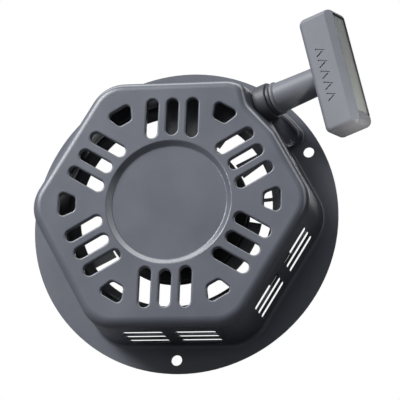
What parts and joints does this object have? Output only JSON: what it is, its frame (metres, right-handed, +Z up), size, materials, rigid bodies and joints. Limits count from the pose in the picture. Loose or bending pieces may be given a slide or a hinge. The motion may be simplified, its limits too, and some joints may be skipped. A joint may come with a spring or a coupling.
{
  "type": "recoil starter",
  "caption": "Pull-cord recoil starter: vented pressed steel dome on a round bolt-on flange, T handle at a rope guide, and a sprung rope reel with swing-out pawls inside.",
  "frame": {"origin": "reel axis on the flange's bolted back face", "axes": "+Y along the reel axis into the engine, so the domed front faces -Y; +Z up; +X to the right seen from the front, the side the handle is on"},
  "size_m": [0.2261, 0.057, 0.2221],
  "materials": {
    "housing_steel": "satin charcoal powder coat on pressed steel sheet",
    "black_plastic": "satin black moulded bush",
    "guard_steel": "satin charcoal coat on thin steel plate",
    "bare_steel": "turned steel, lightly oiled",
    "zinc_screw": "zinc plated",
    "spring_steel": "blued spring steel",
    "reel_nylon": "glass-filled black nylon",
    "rope_braid": "white braided starter cord",
    "pawl_steel": "sintered steel",
    "guide_steel": "yellow passivated steel plate",
    "grip_plastic": "satin charcoal moulded grip",
    "cap_plastic": "greenish grey satin panel"
  },
  "bodies": {
    "housing": {"housing": "housing_steel", "rope_guide": "black_plastic", "rope_guard": "guard_steel", "center_post": "bare_steel", "center_screw": "zinc_screw", "screw_washer": "zinc_screw", "recoil_spring": "spring_steel"},
    "reel": {"reel": "reel_nylon", "rope_coil": "rope_braid", "reel_knot": "rope_braid", "pawl_spring_1": "spring_steel", "pawl_spring_2": "spring_steel"},
    "pawl_1": {"pawl_1": "pawl_steel"},
    "pawl_2": {"pawl_2": "pawl_steel"},
    "ratchet_guide": {"ratchet_guide": "guide_steel", "friction_spring": "spring_steel"},
    "handle": {"handle_grip": "grip_plastic", "handle_cap": "cap_plastic", "knot_washer": "zinc_screw", "rope_lead": "rope_braid", "handle_knot": "rope_braid"}
  },
  "joints": [
    {"name": "handle_pull", "type": "slide", "parent": "housing", "child": "handle", "axis": [0.9135, -0.3223, 0.2482], "range_m": [0, 0.87757], "stiffness_N_per_m": 8, "springref_m": -0.3, "deforming": ["rope_lead"]},
    {"name": "reel_spin", "type": "hinge", "parent": "housing", "child": "reel", "pos_m": [0, -0.022, 0], "axis": [0, 1, 0], "range_deg": [0, 1450], "deforming": ["recoil_spring"]},
    {"name": "guide_turn", "type": "hinge", "parent": "reel", "child": "ratchet_guide", "pos_m": [0, -0.011, 0], "axis": [0, -1, 0], "range_deg": [0, 30], "stiffness_Nm_per_rad": 0.02, "springref_deg": -11.46},
    {"name": "pawl_1_swing", "type": "hinge", "parent": "reel", "child": "pawl_1", "pos_m": [0.019, -0.0145, 0], "axis": [0, -1, 0], "range_deg": [0, 38], "deforming": ["pawl_spring_1"]},
    {"name": "pawl_2_swing", "type": "hinge", "parent": "reel", "child": "pawl_2", "pos_m": [-0.019, -0.0145, 0], "axis": [0, -1, 0], "range_deg": [0, 38], "deforming": ["pawl_spring_2"]}
  ],
  "couplings": [
    {"joint": "reel_spin", "follows": "handle_pull", "rad_per_m": 28.639},
    {"joint": "pawl_1_swing", "follows": "guide_turn", "ratio": 1.2667},
    {"joint": "pawl_2_swing", "follows": "guide_turn", "ratio": 1.2667}
  ]
}
